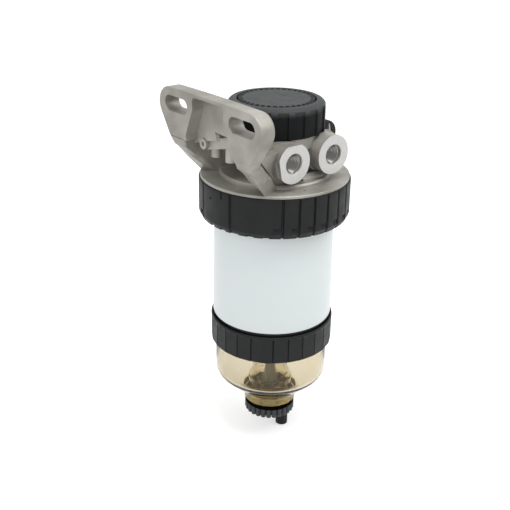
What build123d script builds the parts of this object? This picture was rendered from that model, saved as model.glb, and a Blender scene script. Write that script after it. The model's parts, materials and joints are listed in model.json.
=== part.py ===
from build123d import *
import os
from math import atan2, cos, degrees, radians, sin, sqrt, tan

os.makedirs("parts", exist_ok=True)

# Fuel water separator: cast head with a slotted bracket, two side ports and a hand
# primer, a canister under a locking collar, and a clear water bowl with a drain.
# Millimetres. The origin is midway between the two bracket slots, on the mounting face.
# The bracket faces -Y, the ports face +X, and the filter axis runs along Z.

# Clearances
running = 0.05
seat_gap = 0.3
loose = 0.5

# Bracket
axis_offset = 62.5
slot_spacing = 76.0
slot_width = 11.0
slot_length = 28.0
plate_depth = 12.8
plate_top = 11.6
plate_crown = 0.5
ear_radius = 12.5
ear_slope = 33.4
ear_foot = -24.0
ear_round = 2.5
ear_inner_top = 18.0
ear_inner_foot = 28.7
pocket_depth = 10.0
pocket_top = 9.4
pocket_corner = 3.5
web_left = -28.0
web_shoulder = (-12.5, -22.5)
web_tooth = (-2.0, -20.0)
web_notch = (-4.0, -14.0)
web_foot = -15.2
edge_round = 0.8
stub_place = (-17.3, -25.6)
stub_radius = 4.0
stub_proud = 4.0
stub_dimple = 1.6

# Bracket legs, side walls, shelf and pillar
leg_bend = -30.0
leg_bend_front = [(43.8, 2.4), (31.0, 2.4), (30.2, 3.2), (29.6, 9.0)]
leg_bend_back = [(29.2, 15.5), (39.9, 17.5), (43.0, 10.0), (44.6, 3.4)]
leg_middle = -40.0
leg_middle_front = [(40.9, 10.8), (34.3, 10.8), (33.5, 11.6), (31.0, 17.5)]
leg_middle_back = [(29.0, 25.0), (38.3, 27.0), (40.6, 18.5), (41.7, 11.8)]
leg_outer_foot = 37.6
leg_inset = 2.2
leg_depth = 21.0
leg_tip = 1.0
leg_bulge = 7.0
leg_back_outer = 29.5
leg_back_inner = 25.0
wall_top = -22.5
wall_outer = 40.3
wall_inner = 29.0
wall_run = 17.0
wall_reach = 50.0
wall_draft = 0.8
wall_foot = 5.0
shelf_reach = 16.0
shelf_left = (-30.0, -24.0)
shelf_right = (-21.5, -16.0)
pin_places = [(-13.4, 18.5), (3.4, 18.5)]
pin_radius = 4.0
pin_foot = -35.5

# Head casting, turned forms
deck_top = -52.0
deck_inset = 1.1
deck_thickness = 2.0
deck_chamfer = 0.4
step_inset = 13.8
step_height = 2.8
step_round = 1.2
body_radius = 33.0
body_drop = 8.0
waist_radius = 27.0
waist_drop = 15.0
neck_radius = 22.0
neck_height = 11.0
barrel_radius = 18.0
barrel_floor = -47.0
ceiling_depth = 6.0
skirt_reach = 4.65
skirt_wall = 3.5
skirt_depth = 20.0
nipple_radius = 9.5
nipple_bore = 7.0
nipple_length = 26.0

# Ports
port_face = 42.6
port_root = 8.0
port_pitch = 37.4
port_z = -31.9
port_radius = 14.4
port_collar = 1.2
port_collar_face = 31.0
block_inset = 4.0
port_hole_radius = 7.0
port_thread_length = 16.0
port_mouth_radius = 7.7
port_relief_angle = 191.0
port_relief_height = 12.6
port_relief_depth = 2.7
gallery_radius = 4.0
gallery_x = 20.0
gallery_z = -53.0
flat_height = 13.1
rib_x = 33.0
rib_radius = 3.5
rib_length = 19.4
rib_nib = 2.2
rib_nib_length = 0.8
rib_start = 58.5
fin_place = (24.6, 92.6)
fin_size = 5.0
fin_taper = 7.0
fin_top = -15.0
dot_place = (45.8, 51.3)
dot_radius = 0.8

# Hand primer
knob_radius = 36.0
knob_top = 4.0
knob_height = 22.0
knob_wall = 3.2
knob_shoulder = 5.0
knob_flutes = 18
flute_span = 12.0
flute_phase = -32.2
flute_depth = 0.8
cap_radius = 26.6
cap_thickness = 1.6
ring_outer = 28.8
ring_pockets = 38
ring_pocket_width = 2.9
ring_pocket_depth = 2.0
hub_radius = 9.0
hub_depth = 8.0
hub_web = 2.4
rod_radius = 5.0
piston_height = 7.0
piston_rest = -39.0
piston_seal_height = 2.4
piston_seal_depth = 2.0
gland_height = 7.0
spring_wire = 0.7
spring_turns = 4
spring_radius = 8.6
screw_head_radius = 4.6
screw_head_height = 2.2
screw_shank_radius = 2.5
screw_length = 12.0
screw_socket = 3.0

# Check valve in the barrel floor
valve_offset = 13.0
valve_pocket_radius = 3.4
valve_ball_radius = 2.8
valve_hole_radius = 1.8
valve_lift = 1.5
cage_height = 1.6

# Vent screw at the back of the head
vent_y = 107.3
vent_z = -28.6
vent_head_radius = 9.9
vent_head_length = 9.0
vent_shank_radius = 4.0
vent_shank_length = 13.0
vent_boss_radius = 8.0
vent_boss_face = -3.0
vent_boss_length = 20.0
vent_seal_width = 1.6
vent_flutes = 20
vent_flute_radius = 0.7

# Locking collar
collar_reach = 11.25
collar_height = 30.0
collar_wall = 3.8
collar_lip = 4.3
collar_taper = 2.3
collar_taper_height = 4.0
collar_grooves = 25
groove_pitch = 12.0
groove_phase = -34.0
groove_width = 1.6
groove_depth = 1.3
wide_groove_angle = -73.0
wide_groove_width = 2.8
foot_width = 5.0
foot_height = 4.2
lug_count = 4
lug_span = 36.0
lug_height = 3.5
lug_reach = 2.3
lug_drop = 12.3

# Canister and its base ring
can_radius = 45.85
can_wall = 0.9
can_bottom = -172.0
can_flange_reach = 4.3
can_flange_height = 1.8
gasket_width = 2.9
base_reach = 0.15
base_plate = 3.0
base_plug_height = 12.0
base_ring_height = 7.3
base_ring_wall = 4.5
base_hole_count = 8
base_hole_radius = 6.0
base_hole_circle = 28.0

# Filter element
element_inset = 3.35
end_cap_height = 4.0
end_cap_sheet = 1.0
pleat_count = 36
tube_radius = 12.0
tube_wall = 1.2
grommet_height = 6.0

# Bowl collar
bowl_collar_top = -165.9
bowl_collar_height = 24.7
bowl_collar_wall = 2.0
bowl_collar_rim = 1.0
bowl_collar_foot = 0.3
bowl_collar_lip = 3.0
bowl_grooves = 25
bowl_groove_pitch = 14.15
bowl_groove_phase = -38.2
bowl_groove_width = 1.1
bowl_groove_depth = 0.7

# Water bowl
bowl_inset = 2.0
bowl_wall = 2.5
bowl_flange_height = 3.5
bowl_seal_width = 4.0
bowl_shoulder = -220.2
bowl_corner = 11.0
bowl_cone_foot = -240.6
bowl_foot_corner = 8.0
bowl_neck_radius = 22.0
bowl_neck_wall = 2.5
bowl_neck_foot = -251.5
bowl_neck_taper = 1.0
bowl_floor = -237.5
bowl_floor_thickness = 3.5
bowl_lip_height = 3.0
bowl_boss_radius = 12.0
bowl_rib_count = 8
bowl_rib_width = 3.0
bowl_rib_phase = -18.0
bell_top = -209.0
bell_waist = -220.0
bell_shoulder = -229.5
bell_skirt = -233.0
bell_foot = -235.3
bell_top_radius = 11.0
bell_waist_radius = 13.4
bell_radius = 17.7
bell_wall = 1.6
bell_slots = 4
bell_slot_width = 4.0
bell_slot_height = 5.6
drain_bore = 8.0

# Drain valve
drain_stem_top = -203.0
drain_pipe_radius = 3.7
drain_pipe_bore = 2.2
drain_flare_top = -218.0
drain_flare_foot = -235.0
drain_flare_radius = 6.0
drain_tail_radius = 3.5
drain_seal_height = 2.4
drain_seal_depth = 1.6
drain_knob_radius = 20.5
drain_knob_height = 8.5
drain_knob_plate = 2.5
drain_knob_skirt = 3.0
drain_chamber_depth = 1.2
drain_hub_wall = 1.7
drain_lobes = 26
drain_lobe_radius = 1.7
drain_lobe_drop = 1.6
spout_radius = 5.0
spout_bore = 3.4
spout_root = 0.4
spout_offset = 10.6
spout_angle = 49.5
spout_bottom = -276.0

# Heights and radii that follow from the sizes above
collar_radius = can_radius + collar_reach
deck_radius = collar_radius - deck_inset
step_radius = deck_radius - step_inset
skirt_radius = can_radius + skirt_reach
base_radius = can_radius + base_reach
element_radius = can_radius - element_inset
bowl_collar_radius = base_radius + seat_gap + bowl_collar_wall
bowl_flange_radius = base_radius
bowl_radius = bowl_flange_radius - bowl_inset
deck_bottom = deck_top - deck_thickness
step_top = deck_top + step_height
knob_bottom = knob_top - knob_height
body_top = knob_bottom - 2 * loose
neck_top = body_top + neck_height
ceiling = deck_top - ceiling_depth
block_top = port_z + port_radius - block_inset
skirt_bottom = deck_top - skirt_depth
skirt_inner = skirt_radius - skirt_wall
nipple_bottom = ceiling - nipple_length
collar_top = deck_bottom - seat_gap
collar_bottom = collar_top - collar_height
collar_inner = collar_radius - collar_wall
lip_top = collar_bottom + collar_lip
can_flange_bottom = lip_top + seat_gap
can_top = can_flange_bottom + can_flange_height
can_bore = can_radius - can_wall
can_flange_radius = can_radius + can_flange_reach
head_lug_top = deck_top - lug_drop
head_lug_radius = skirt_radius + lug_reach
collar_lug_bottom = head_lug_top + seat_gap
collar_lug_inner = skirt_radius + loose
plug_top = can_bottom + base_plug_height
base_bottom = can_bottom - base_ring_height
bowl_collar_bottom = bowl_collar_top - bowl_collar_height
bowl_collar_inner = base_radius + seat_gap
bowl_lip_top = bowl_collar_bottom + bowl_collar_lip
bowl_flange_bottom = bowl_lip_top + seat_gap
bowl_flange_top = bowl_flange_bottom + bowl_flange_height
bowl_inner = bowl_radius - bowl_wall
element_foot = plug_top + seat_gap
element_top = nipple_bottom + grommet_height
piston_top = piston_rest + piston_height
near_port_y = axis_offset - port_pitch / 2
far_port_y = axis_offset + port_pitch / 2
slot_x = slot_spacing / 2
ear_x = slot_x + (slot_length - slot_width) / 2
drain_knob_top = bowl_neck_foot - seat_gap
drain_knob_bottom = drain_knob_top - drain_knob_height
cap_seat = knob_top - cap_thickness
screw_seat = cap_seat - screw_head_height - running
rod_top = screw_seat - hub_web
hub_bottom = knob_top - knob_wall - hub_depth
piston_radius = barrel_radius - running

# The filter axis, and the half plane (radius, height) that turned pieces are drawn in
filter_axis = Axis((0, axis_offset, 0), (0, 0, 1))
turning_plane = Plane(origin=(0, axis_offset, 0), x_dir=(1, 0, 0), z_dir=(0, -1, 0))


def level(height):
    """Horizontal plane centred on the filter axis."""
    return Plane(origin=(0, axis_offset, height))


def turned(points, mode=Mode.ADD):
    """Solid turned about the filter axis from (radius, height) points."""
    with BuildSketch(turning_plane) as profile:
        with BuildLine():
            Polyline(*points, close=True)
        make_face()
    return revolve(profile.sketch, axis=filter_axis, mode=mode)


def sector(plane, inner, outer, start, span, height, mode=Mode.ADD):
    """Part of a ring between two angles, raised from a plane."""
    with BuildSketch(plane) as face:
        with BuildLine():
            far_arc = CenterArc((0, 0), outer, start, span)
            near_arc = CenterArc((0, 0), inner, start, span)
            Line(far_arc @ 0, near_arc @ 0)
            Line(far_arc @ 1, near_arc @ 1)
        make_face()
    return extrude(face.sketch, amount=height, mode=mode)


def upright_slots(plane, radius, width, depth, height, angles):
    """Cut the same upright groove into a turned wall at each angle."""
    with BuildSketch(plane) as slots:
        for angle in angles:
            with Locations(Location((0, 0, 0), (0, 0, angle))):
                with Locations((radius, 0)):
                    Rectangle(2 * depth, width)
    return extrude(slots.sketch, amount=height, mode=Mode.SUBTRACT)


# Ear outline
tangent = radians(ear_slope)
ear_z = plate_top - ear_radius
ear_tangent = (ear_x + ear_radius * cos(tangent), ear_z - ear_radius * sin(tangent))
ear_corner = (ear_tangent[0] - (ear_tangent[1] - ear_foot) * tan(tangent), ear_foot)
inner_slope = (ear_inner_foot - ear_inner_top) / -ear_foot
web_corner = (ear_inner_top - web_foot * inner_slope, web_foot)
leg_run = axis_offset - sqrt(deck_radius**2 - leg_outer_foot**2) + leg_inset

# Leg that carries an ear down and back to the rim of the deck, ending in a point
with BuildPart() as leg:
    with BuildSketch(Plane.XY.offset(ear_foot)):
        Polygon(
            (ear_corner[0] - edge_round, 0),
            (ear_inner_foot + edge_round, 0),
            (ear_inner_foot, edge_round),
            (ear_inner_foot, plate_depth / 2),
            (ear_inner_foot, plate_depth),
            (ear_corner[0] - ear_round, plate_depth),
            (ear_corner[0], plate_depth - ear_round),
            (ear_corner[0], edge_round),
            align=None,
        )
    with BuildSketch(Plane.XY.offset(leg_bend)):
        Polygon(*leg_bend_front, *leg_bend_back, align=None)
    with BuildSketch(Plane.XY.offset(leg_middle)):
        Polygon(*leg_middle_front, *leg_middle_back, align=None)
    with BuildSketch(Plane.XY.offset(deck_bottom)):
        Polygon(
            (leg_outer_foot - leg_tip / 2, leg_run),
            (leg_outer_foot - leg_tip, leg_run + leg_tip / 4),
            (leg_outer_foot - 2 * leg_tip, leg_run + leg_tip),
            (leg_back_inner + leg_tip, leg_run + leg_bulge),
            (leg_back_inner, leg_run + leg_depth),
            (leg_back_outer, leg_run + leg_depth),
            ((leg_outer_foot + leg_back_outer) / 2, leg_run + leg_depth / 2),
            (leg_outer_foot, leg_run + leg_tip / 2),
            align=None,
        )
    loft(ruled=True)

# Bracket plate with two slotted ears and a recess between them
with BuildPart() as bracket:
    with BuildSketch(Plane.XZ):
        with BuildLine():
            ThreePointArc((-ear_x, plate_top), (0, plate_top + plate_crown), (ear_x, plate_top))
            for side in (1, -1):
                ear_arc = ThreePointArc(
                    (side * ear_x, plate_top),
                    (
                        side * (ear_x + ear_radius * cos(radians(30))),
                        ear_z + ear_radius * sin(radians(30)),
                    ),
                    (side * ear_tangent[0], ear_tangent[1]),
                )
                Polyline(
                    ear_arc @ 1,
                    (side * ear_corner[0], ear_corner[1]),
                    (side * ear_inner_foot, ear_foot),
                )
            Polyline(
                (-ear_inner_foot, ear_foot),
                web_shoulder,
                web_tooth,
                web_notch,
                web_corner,
                (ear_inner_foot, ear_foot),
            )
        make_face()
    extrude(amount=-plate_depth)
    with BuildSketch(Plane.XZ) as pocket:
        with BuildLine():
            Polyline(
                (-ear_inner_top, pocket_top),
                (ear_inner_top, pocket_top),
                (ear_inner_top, 0),
                (ear_inner_foot, ear_foot),
                (-ear_inner_foot, ear_foot),
                (-ear_inner_top, 0),
                close=True,
            )
        make_face()
        fillet(pocket.vertices().group_by(Axis.Z)[-1], pocket_corner)
    extrude(amount=-pocket_depth, mode=Mode.SUBTRACT)
    back = bracket.edges().group_by(Axis.Y)[-1]
    fillet(back.filter_by(lambda edge: edge.center().Z > 0 or abs(edge.center().X) > ear_x), ear_round)
    with BuildSketch(Plane.XZ.offset(-pocket_depth)):
        Polygon(
            (-ear_inner_foot - 1, ear_foot),
            (-ear_inner_foot - 1, web_left),
            web_shoulder,
            align=None,
        )
    extrude(amount=pocket_depth - plate_depth)
    for side in (1, -1):
        with BuildSketch(Plane.XZ):
            with Locations((side * slot_x, 0)):
                SlotOverall(slot_length, slot_width)
        extrude(amount=-plate_depth, mode=Mode.SUBTRACT)
    outline = bracket.edges().group_by(Axis.Y)[0]
    bend = outline.group_by(Axis.Z)[0]
    fillet([edge for edge in outline if edge not in bend], edge_round)
    add(leg.part)
    add(mirror(leg.part, about=Plane.YZ, mode=Mode.PRIVATE))

# Wall from the leg back to the body and the port boss
with BuildPart() as side_wall:
    with BuildSketch(Plane.XY.offset(wall_top)):
        Polygon(
            (wall_inner, pocket_depth),
            (wall_outer, plate_depth),
            (wall_outer - wall_draft, plate_depth + wall_run),
            (wall_inner, wall_reach),
            (wall_inner - wall_foot, wall_reach),
            align=None,
        )
    with BuildSketch(Plane.XY.offset(deck_bottom)):
        Polygon(
            (leg_back_inner + leg_tip, leg_run + leg_bulge),
            (leg_back_outer, leg_run + leg_depth - leg_tip),
            (leg_back_outer, leg_run + leg_depth + leg_tip),
            (leg_back_inner + wall_foot / 2, wall_reach + wall_foot / 2),
            (leg_back_inner - wall_foot / 2, wall_reach + wall_foot / 2),
            align=None,
        )
    loft(ruled=True)

# Cast head
with BuildPart() as head_casting:
    turned(
        [
            (0, neck_top),
            (neck_radius, neck_top),
            (neck_radius, body_top),
            (body_radius, body_top),
            (body_radius, body_top - body_drop),
            (waist_radius, body_top - waist_drop),
            (waist_radius, step_top),
            (step_radius - step_round, step_top),
            (step_radius, step_top - step_round),
            (step_radius, deck_top),
            (deck_radius - deck_chamfer, deck_top),
            (deck_radius, deck_top - deck_chamfer),
            (deck_radius, deck_bottom),
            (skirt_radius, deck_bottom),
            (skirt_radius, skirt_bottom),
            (skirt_inner, skirt_bottom),
            (skirt_inner, ceiling),
            (nipple_radius, ceiling),
            (nipple_radius, nipple_bottom),
            (nipple_bore, nipple_bottom),
            (nipple_bore, gallery_z + gallery_radius),
            (0, gallery_z + gallery_radius),
        ]
    )
    # Bayonet lugs round the skirt
    for number in range(lug_count):
        sector(
            level(head_lug_top - lug_height),
            skirt_radius - loose,
            head_lug_radius,
            number * 360 / lug_count - lug_span / 2,
            lug_span,
            lug_height,
        )
    # Bracket plate, legs and side walls down to the deck
    add(bracket.part)
    add(side_wall.part)
    add(mirror(side_wall.part, about=Plane.YZ, mode=Mode.PRIVATE))
    # Shelf behind the plate, its stub and the two pins under it
    shelf_back = axis_offset - waist_radius
    with BuildSketch(Plane.XZ.offset(-plate_depth + edge_round)):
        Polygon(
            (-shelf_reach, shelf_left[0]),
            (-shelf_reach, shelf_left[1]),
            (shelf_reach, shelf_right[1]),
            (shelf_reach, shelf_right[0]),
            align=None,
        )
    extrude(amount=plate_depth - edge_round - shelf_back)
    with BuildSketch(Plane.XZ.offset(-plate_depth + stub_proud)):
        with Locations(stub_place):
            Circle(stub_radius)
    extrude(amount=-2 * stub_proud)
    with BuildSketch(Plane.XZ.offset(-plate_depth + stub_proud)):
        with Locations(stub_place):
            Circle(stub_dimple)
    extrude(amount=-stub_dimple, mode=Mode.SUBTRACT)
    with BuildSketch(Plane.XY.offset(pin_foot)):
        for place in pin_places:
            with Locations(place):
                Circle(pin_radius)
    extrude(amount=(shelf_left[0] + shelf_right[1]) / 2 - pin_foot)
    # Port bosses, the collar behind each face and the block between them
    for port_y in (near_port_y, far_port_y):
        with BuildSketch(Plane.YZ.offset(port_root)):
            with Locations((port_y, port_z)):
                Circle(port_radius)
        extrude(amount=port_face - port_root)
        with BuildSketch(Plane.YZ.offset(port_root)):
            with Locations((port_y, port_z)):
                Circle(port_radius + port_collar)
        extrude(amount=port_collar_face - port_root)
    with BuildSketch(Plane.YZ.offset(port_root)):
        with Locations((axis_offset, deck_top)):
            Rectangle(port_pitch, block_top - deck_top, align=(Align.CENTER, Align.MIN))
    extrude(amount=port_collar_face - block_inset - port_root)
    # Half-round rib with a nib at each end, under and between the ports
    with BuildSketch(Plane.XZ.offset(-rib_start)):
        with Locations((rib_x, step_top)):
            Circle(rib_radius)
    extrude(amount=-rib_length)
    with BuildSketch(Plane.XZ.offset(-rib_start + rib_nib_length)):
        with Locations((rib_x, step_top + rib_radius / 2)):
            Circle(rib_nib)
    extrude(amount=-(rib_length + 2 * rib_nib_length))
    with BuildSketch(Plane.XY.offset(port_z)):
        with Locations(fin_place):
            Rectangle(fin_size, fin_size)
    extrude(amount=fin_top - port_z, taper=fin_taper)
    with BuildSketch(Plane.XY.offset(deck_top)):
        with Locations(dot_place):
            Circle(dot_radius)
    extrude(amount=-dot_radius, mode=Mode.SUBTRACT)
    # Boss for the vent screw
    with BuildSketch(Plane.YZ.offset(vent_boss_face - vent_boss_length)):
        with Locations((vent_y, vent_z)):
            Circle(vent_boss_radius)
        with Locations((vent_y - vent_boss_radius, vent_z - vent_boss_radius / 2)):
            Rectangle(2 * vent_boss_radius, vent_boss_radius)
        with Locations((vent_y, (vent_z + deck_top) / 2)):
            Rectangle(vent_boss_radius, vent_z - deck_top)
    extrude(amount=vent_boss_length)
    # Room for the knob and a flat on the nearer boss
    sector(
        level(knob_bottom - loose),
        neck_radius,
        knob_radius + 2 * loose,
        0,
        359.9,
        knob_height,
        mode=Mode.SUBTRACT,
    )
    with BuildSketch(Plane.YZ.offset(port_root)):
        with Locations((near_port_y, port_z + flat_height)):
            Rectangle(2 * port_radius, port_radius, align=(Align.CENTER, Align.MIN))
    extrude(amount=port_face, mode=Mode.SUBTRACT)
    with BuildSketch(Plane.YZ.offset(port_face - port_relief_depth)):
        with Locations(Location((near_port_y, port_z), port_relief_angle)):
            with Locations((port_relief_height, 0)):
                Rectangle(port_radius, 2 * port_radius, align=(Align.MIN, Align.CENTER))
    extrude(amount=port_relief_depth, mode=Mode.SUBTRACT)
    # Pump barrel, ports, galleries, valve pocket and vent bore
    with BuildSketch(level(barrel_floor)):
        Circle(barrel_radius)
    extrude(amount=neck_top - barrel_floor, mode=Mode.SUBTRACT)
    for port_y in (near_port_y, far_port_y):
        with Locations(Location((port_face, port_y, port_z), (0, 90, 0))):
            CounterSinkHole(port_hole_radius, port_mouth_radius, port_thread_length, 90)
        with BuildSketch(Plane.YZ.offset(gallery_x)):
            with Locations((port_y, port_z)):
                Circle(gallery_radius)
        extrude(amount=port_face - gallery_x, mode=Mode.SUBTRACT)
    with BuildSketch(Plane.XY.offset(ceiling)):
        with Locations((gallery_x, near_port_y)):
            Circle(gallery_radius)
    extrude(amount=port_z - ceiling, mode=Mode.SUBTRACT)
    with BuildSketch(Plane.XY.offset(gallery_z)):
        with Locations((gallery_x, far_port_y)):
            Circle(gallery_radius)
    extrude(amount=port_z - gallery_z, mode=Mode.SUBTRACT)
    cross_length = sqrt(gallery_x**2 + (port_pitch / 2) ** 2)
    cross_plane = Plane(
        origin=(0, axis_offset, gallery_z), z_dir=(gallery_x, port_pitch / 2, 0)
    )
    with BuildSketch(cross_plane):
        Circle(gallery_radius - running)
    extrude(amount=cross_length, mode=Mode.SUBTRACT)
    with BuildSketch(level(ceiling)):
        with Locations((-valve_offset, 0)):
            Circle(valve_hole_radius)
    extrude(amount=barrel_floor - ceiling, mode=Mode.SUBTRACT)
    with Locations((-valve_offset, axis_offset, barrel_floor)):
        Hole(valve_pocket_radius, cage_height + 2 * valve_ball_radius + valve_lift)
    with BuildSketch(Plane.YZ.offset(vent_boss_face)):
        with Locations((vent_y, vent_z)):
            Circle(vent_shank_radius + running)
    extrude(amount=-(vent_shank_length + loose), mode=Mode.SUBTRACT)
head_casting.part.label = "head_casting"
export_step(head_casting.part, "parts/head_casting.step")


# Push knob of the hand primer
with BuildPart() as primer_knob:
    turned(
        [
            (screw_shank_radius + running, screw_seat),
            (screw_head_radius + loose, screw_seat),
            (screw_head_radius + loose, cap_seat),
            (cap_radius + running, cap_seat),
            (cap_radius + running, knob_top),
            (knob_radius, knob_top),
            (knob_radius, knob_bottom),
            (knob_radius - knob_wall, knob_bottom),
            (knob_radius - knob_wall, knob_top - knob_wall),
            (hub_radius, knob_top - knob_wall),
            (hub_radius, hub_bottom),
            (rod_radius + running, hub_bottom),
            (rod_radius + running, rod_top),
            (screw_shank_radius + running, rod_top),
        ]
    )
    rim = primer_knob.edges().group_by(Axis.Z)[-1].sort_by(SortBy.RADIUS)[-1]
    fillet(rim, knob_shoulder)
    flute_width = 2 * knob_radius * sin(radians(flute_span / 2))
    upright_slots(
        level(knob_bottom),
        knob_radius,
        flute_width,
        flute_depth,
        knob_height - knob_shoulder - 1,
        [flute_phase + number * 360 / knob_flutes for number in range(knob_flutes)],
    )
    with BuildSketch(level(knob_top)):
        with PolarLocations((cap_radius + ring_outer) / 2, ring_pockets):
            Rectangle(ring_outer - cap_radius, ring_pocket_width)
    extrude(amount=-ring_pocket_depth, mode=Mode.SUBTRACT)
primer_knob.part.label = "primer_knob"
export_step(primer_knob.part, "parts/primer_knob.step")

# Snap-in cap over the knob's screw
with BuildPart() as knob_cap:
    with BuildSketch(level(cap_seat)):
        Circle(cap_radius)
    extrude(amount=cap_thickness)
    fillet(knob_cap.edges().group_by(Axis.Z)[-1], loose)
knob_cap.part.label = "knob_cap"
export_step(knob_cap.part, "parts/knob_cap.step")

# Screw that holds the knob on the pump rod
with BuildPart() as knob_screw:
    turned(
        [
            (0, screw_seat + screw_head_height),
            (screw_head_radius, screw_seat + screw_head_height),
            (screw_head_radius, screw_seat),
            (screw_shank_radius, screw_seat),
            (screw_shank_radius, screw_seat - screw_length),
            (0, screw_seat - screw_length),
        ]
    )
    with BuildSketch(level(screw_seat + screw_head_height)):
        RegularPolygon(screw_socket, 6)
    extrude(amount=-screw_head_height / 2, mode=Mode.SUBTRACT)
knob_screw.part.label = "knob_screw"
export_step(knob_screw.part, "parts/knob_screw.step")

# Pump rod and piston in one piece
piston_seal_top = piston_top - (piston_height - piston_seal_height) / 2
with BuildPart() as pump_plunger:
    turned(
        [
            (screw_shank_radius + running, rod_top),
            (rod_radius, rod_top),
            (rod_radius, piston_top),
            (piston_radius, piston_top),
            (piston_radius, piston_seal_top),
            (piston_radius - piston_seal_depth, piston_seal_top),
            (piston_radius - piston_seal_depth, piston_seal_top - piston_seal_height),
            (piston_radius, piston_seal_top - piston_seal_height),
            (piston_radius, piston_rest),
            (0, piston_rest),
            (0, screw_seat - screw_length - loose),
            (screw_shank_radius + running, screw_seat - screw_length - loose),
        ]
    )
pump_plunger.part.label = "pump_plunger"
export_step(pump_plunger.part, "parts/pump_plunger.step")

# Seal in the piston's groove
with BuildPart() as plunger_seal:
    seal_inner = piston_radius - piston_seal_depth + running
    turned(
        [
            (seal_inner, piston_seal_top - running),
            (barrel_radius - running / 2, piston_seal_top - running),
            (barrel_radius - running / 2, piston_seal_top - piston_seal_height + running),
            (seal_inner, piston_seal_top - piston_seal_height + running),
        ]
    )
plunger_seal.part.label = "plunger_seal"
export_step(plunger_seal.part, "parts/plunger_seal.step")

# Bush that guides the rod at the top of the barrel
with BuildPart() as pump_gland:
    with BuildSketch(level(neck_top - gland_height)):
        Circle(barrel_radius - running)
        Circle(rod_radius + running, mode=Mode.SUBTRACT)
    extrude(amount=gland_height)
pump_gland.part.label = "pump_gland"
export_step(pump_gland.part, "parts/pump_gland.step")

# Return spring, squeezed between the barrel floor and the piston
with BuildPart() as pump_spring:
    coil_height = piston_rest - barrel_floor - 2 * spring_wire - 2 * running
    coil_foot = (0, axis_offset, barrel_floor + spring_wire + running)
    with BuildLine() as coil:
        Helix(coil_height / spring_turns, coil_height, spring_radius, center=coil_foot)
    with BuildSketch(Plane(origin=coil.line @ 0, z_dir=coil.line % 0)):
        Circle(spring_wire)
    sweep(path=coil.line, is_frenet=True)
pump_spring.part.label = "pump_spring"
export_step(pump_spring.part, "parts/pump_spring.step")

# Ball of the suction valve, and the cage that limits its lift
ball_seat = barrel_floor - cage_height - 2 * valve_ball_radius - valve_lift
ball_rise = sqrt(valve_ball_radius**2 - valve_hole_radius**2) + running
with BuildPart() as check_ball:
    with Locations((-valve_offset, axis_offset, ball_seat + ball_rise)):
        Sphere(valve_ball_radius)
check_ball.part.label = "check_ball"
export_step(check_ball.part, "parts/check_ball.step")

with BuildPart() as valve_cage:
    with BuildSketch(level(barrel_floor - cage_height)):
        with Locations((-valve_offset, 0)):
            Circle(valve_pocket_radius - running)
            Circle(valve_hole_radius, mode=Mode.SUBTRACT)
    extrude(amount=cage_height - running)
valve_cage.part.label = "valve_cage"
export_step(valve_cage.part, "parts/valve_cage.step")

# Vent screw and its sealing ring
with BuildPart() as vent_screw:
    with BuildSketch(Plane.YZ.offset(vent_boss_face + vent_seal_width + running)):
        with Locations((vent_y, vent_z)):
            Circle(vent_head_radius)
            with PolarLocations(vent_head_radius, vent_flutes):
                Circle(vent_flute_radius, mode=Mode.SUBTRACT)
    extrude(amount=vent_head_length)
    with BuildSketch(Plane.YZ.offset(vent_boss_face - vent_shank_length)):
        with Locations((vent_y, vent_z)):
            Circle(vent_shank_radius)
    extrude(amount=vent_shank_length + vent_seal_width + 2 * running)
vent_screw.part.label = "vent_screw"
export_step(vent_screw.part, "parts/vent_screw.step")

with BuildPart() as vent_seal:
    with BuildSketch(Plane.YZ.offset(vent_boss_face + running)):
        with Locations((vent_y, vent_z)):
            Circle(vent_shank_radius + vent_seal_width)
            Circle(vent_shank_radius + running, mode=Mode.SUBTRACT)
    extrude(amount=vent_seal_width - running)
vent_seal.part.label = "vent_seal"
export_step(vent_seal.part, "parts/vent_seal.step")

# Locking collar, hung on the head's bayonet lugs and carrying the canister's flange
with BuildPart() as locking_collar:
    turned(
        [
            (collar_inner, collar_top),
            (collar_radius, collar_top),
            (collar_radius, collar_bottom + collar_taper_height),
            (collar_radius - collar_taper, collar_bottom),
            (can_radius + loose, collar_bottom),
            (can_radius + loose, lip_top),
            (collar_inner, lip_top),
        ]
    )
    for number in range(lug_count):
        sector(
            level(collar_lug_bottom),
            collar_lug_inner,
            collar_inner + loose,
            number * 360 / lug_count - lug_span / 2,
            lug_span,
            lug_height,
        )
    groove_angles = [groove_phase + number * groove_pitch for number in range(collar_grooves)]
    groove_rise = collar_height - groove_width
    foot_shift = degrees((foot_width + groove_width) / 2 / collar_radius)
    upright_slots(
        level(collar_bottom), collar_radius, groove_width, groove_depth, groove_rise, groove_angles
    )
    upright_slots(
        level(collar_bottom),
        collar_radius,
        foot_width,
        groove_depth,
        foot_height,
        [angle - foot_shift for angle in groove_angles],
    )
    upright_slots(
        level(collar_bottom),
        collar_radius,
        wide_groove_width,
        groove_depth,
        groove_rise,
        [wide_groove_angle],
    )
locking_collar.part.label = "locking_collar"
export_step(locking_collar.part, "parts/locking_collar.step")

# Canister, its gasket and the ring in its lower end
with BuildPart() as canister:
    turned(
        [
            (can_bore, can_bottom),
            (can_radius, can_bottom),
            (can_radius, can_flange_bottom),
            (can_flange_radius, can_flange_bottom),
            (can_flange_radius, can_top),
            (can_bore, can_top),
        ]
    )
canister.part.label = "canister"
export_step(canister.part, "parts/canister.step")

with BuildPart() as can_gasket:
    turned(
        [
            (can_flange_radius - gasket_width, can_top),
            (can_flange_radius, can_top),
            (can_flange_radius, skirt_bottom),
            (can_flange_radius - gasket_width, skirt_bottom),
        ]
    )
can_gasket.part.label = "can_gasket"
export_step(can_gasket.part, "parts/can_gasket.step")

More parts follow.
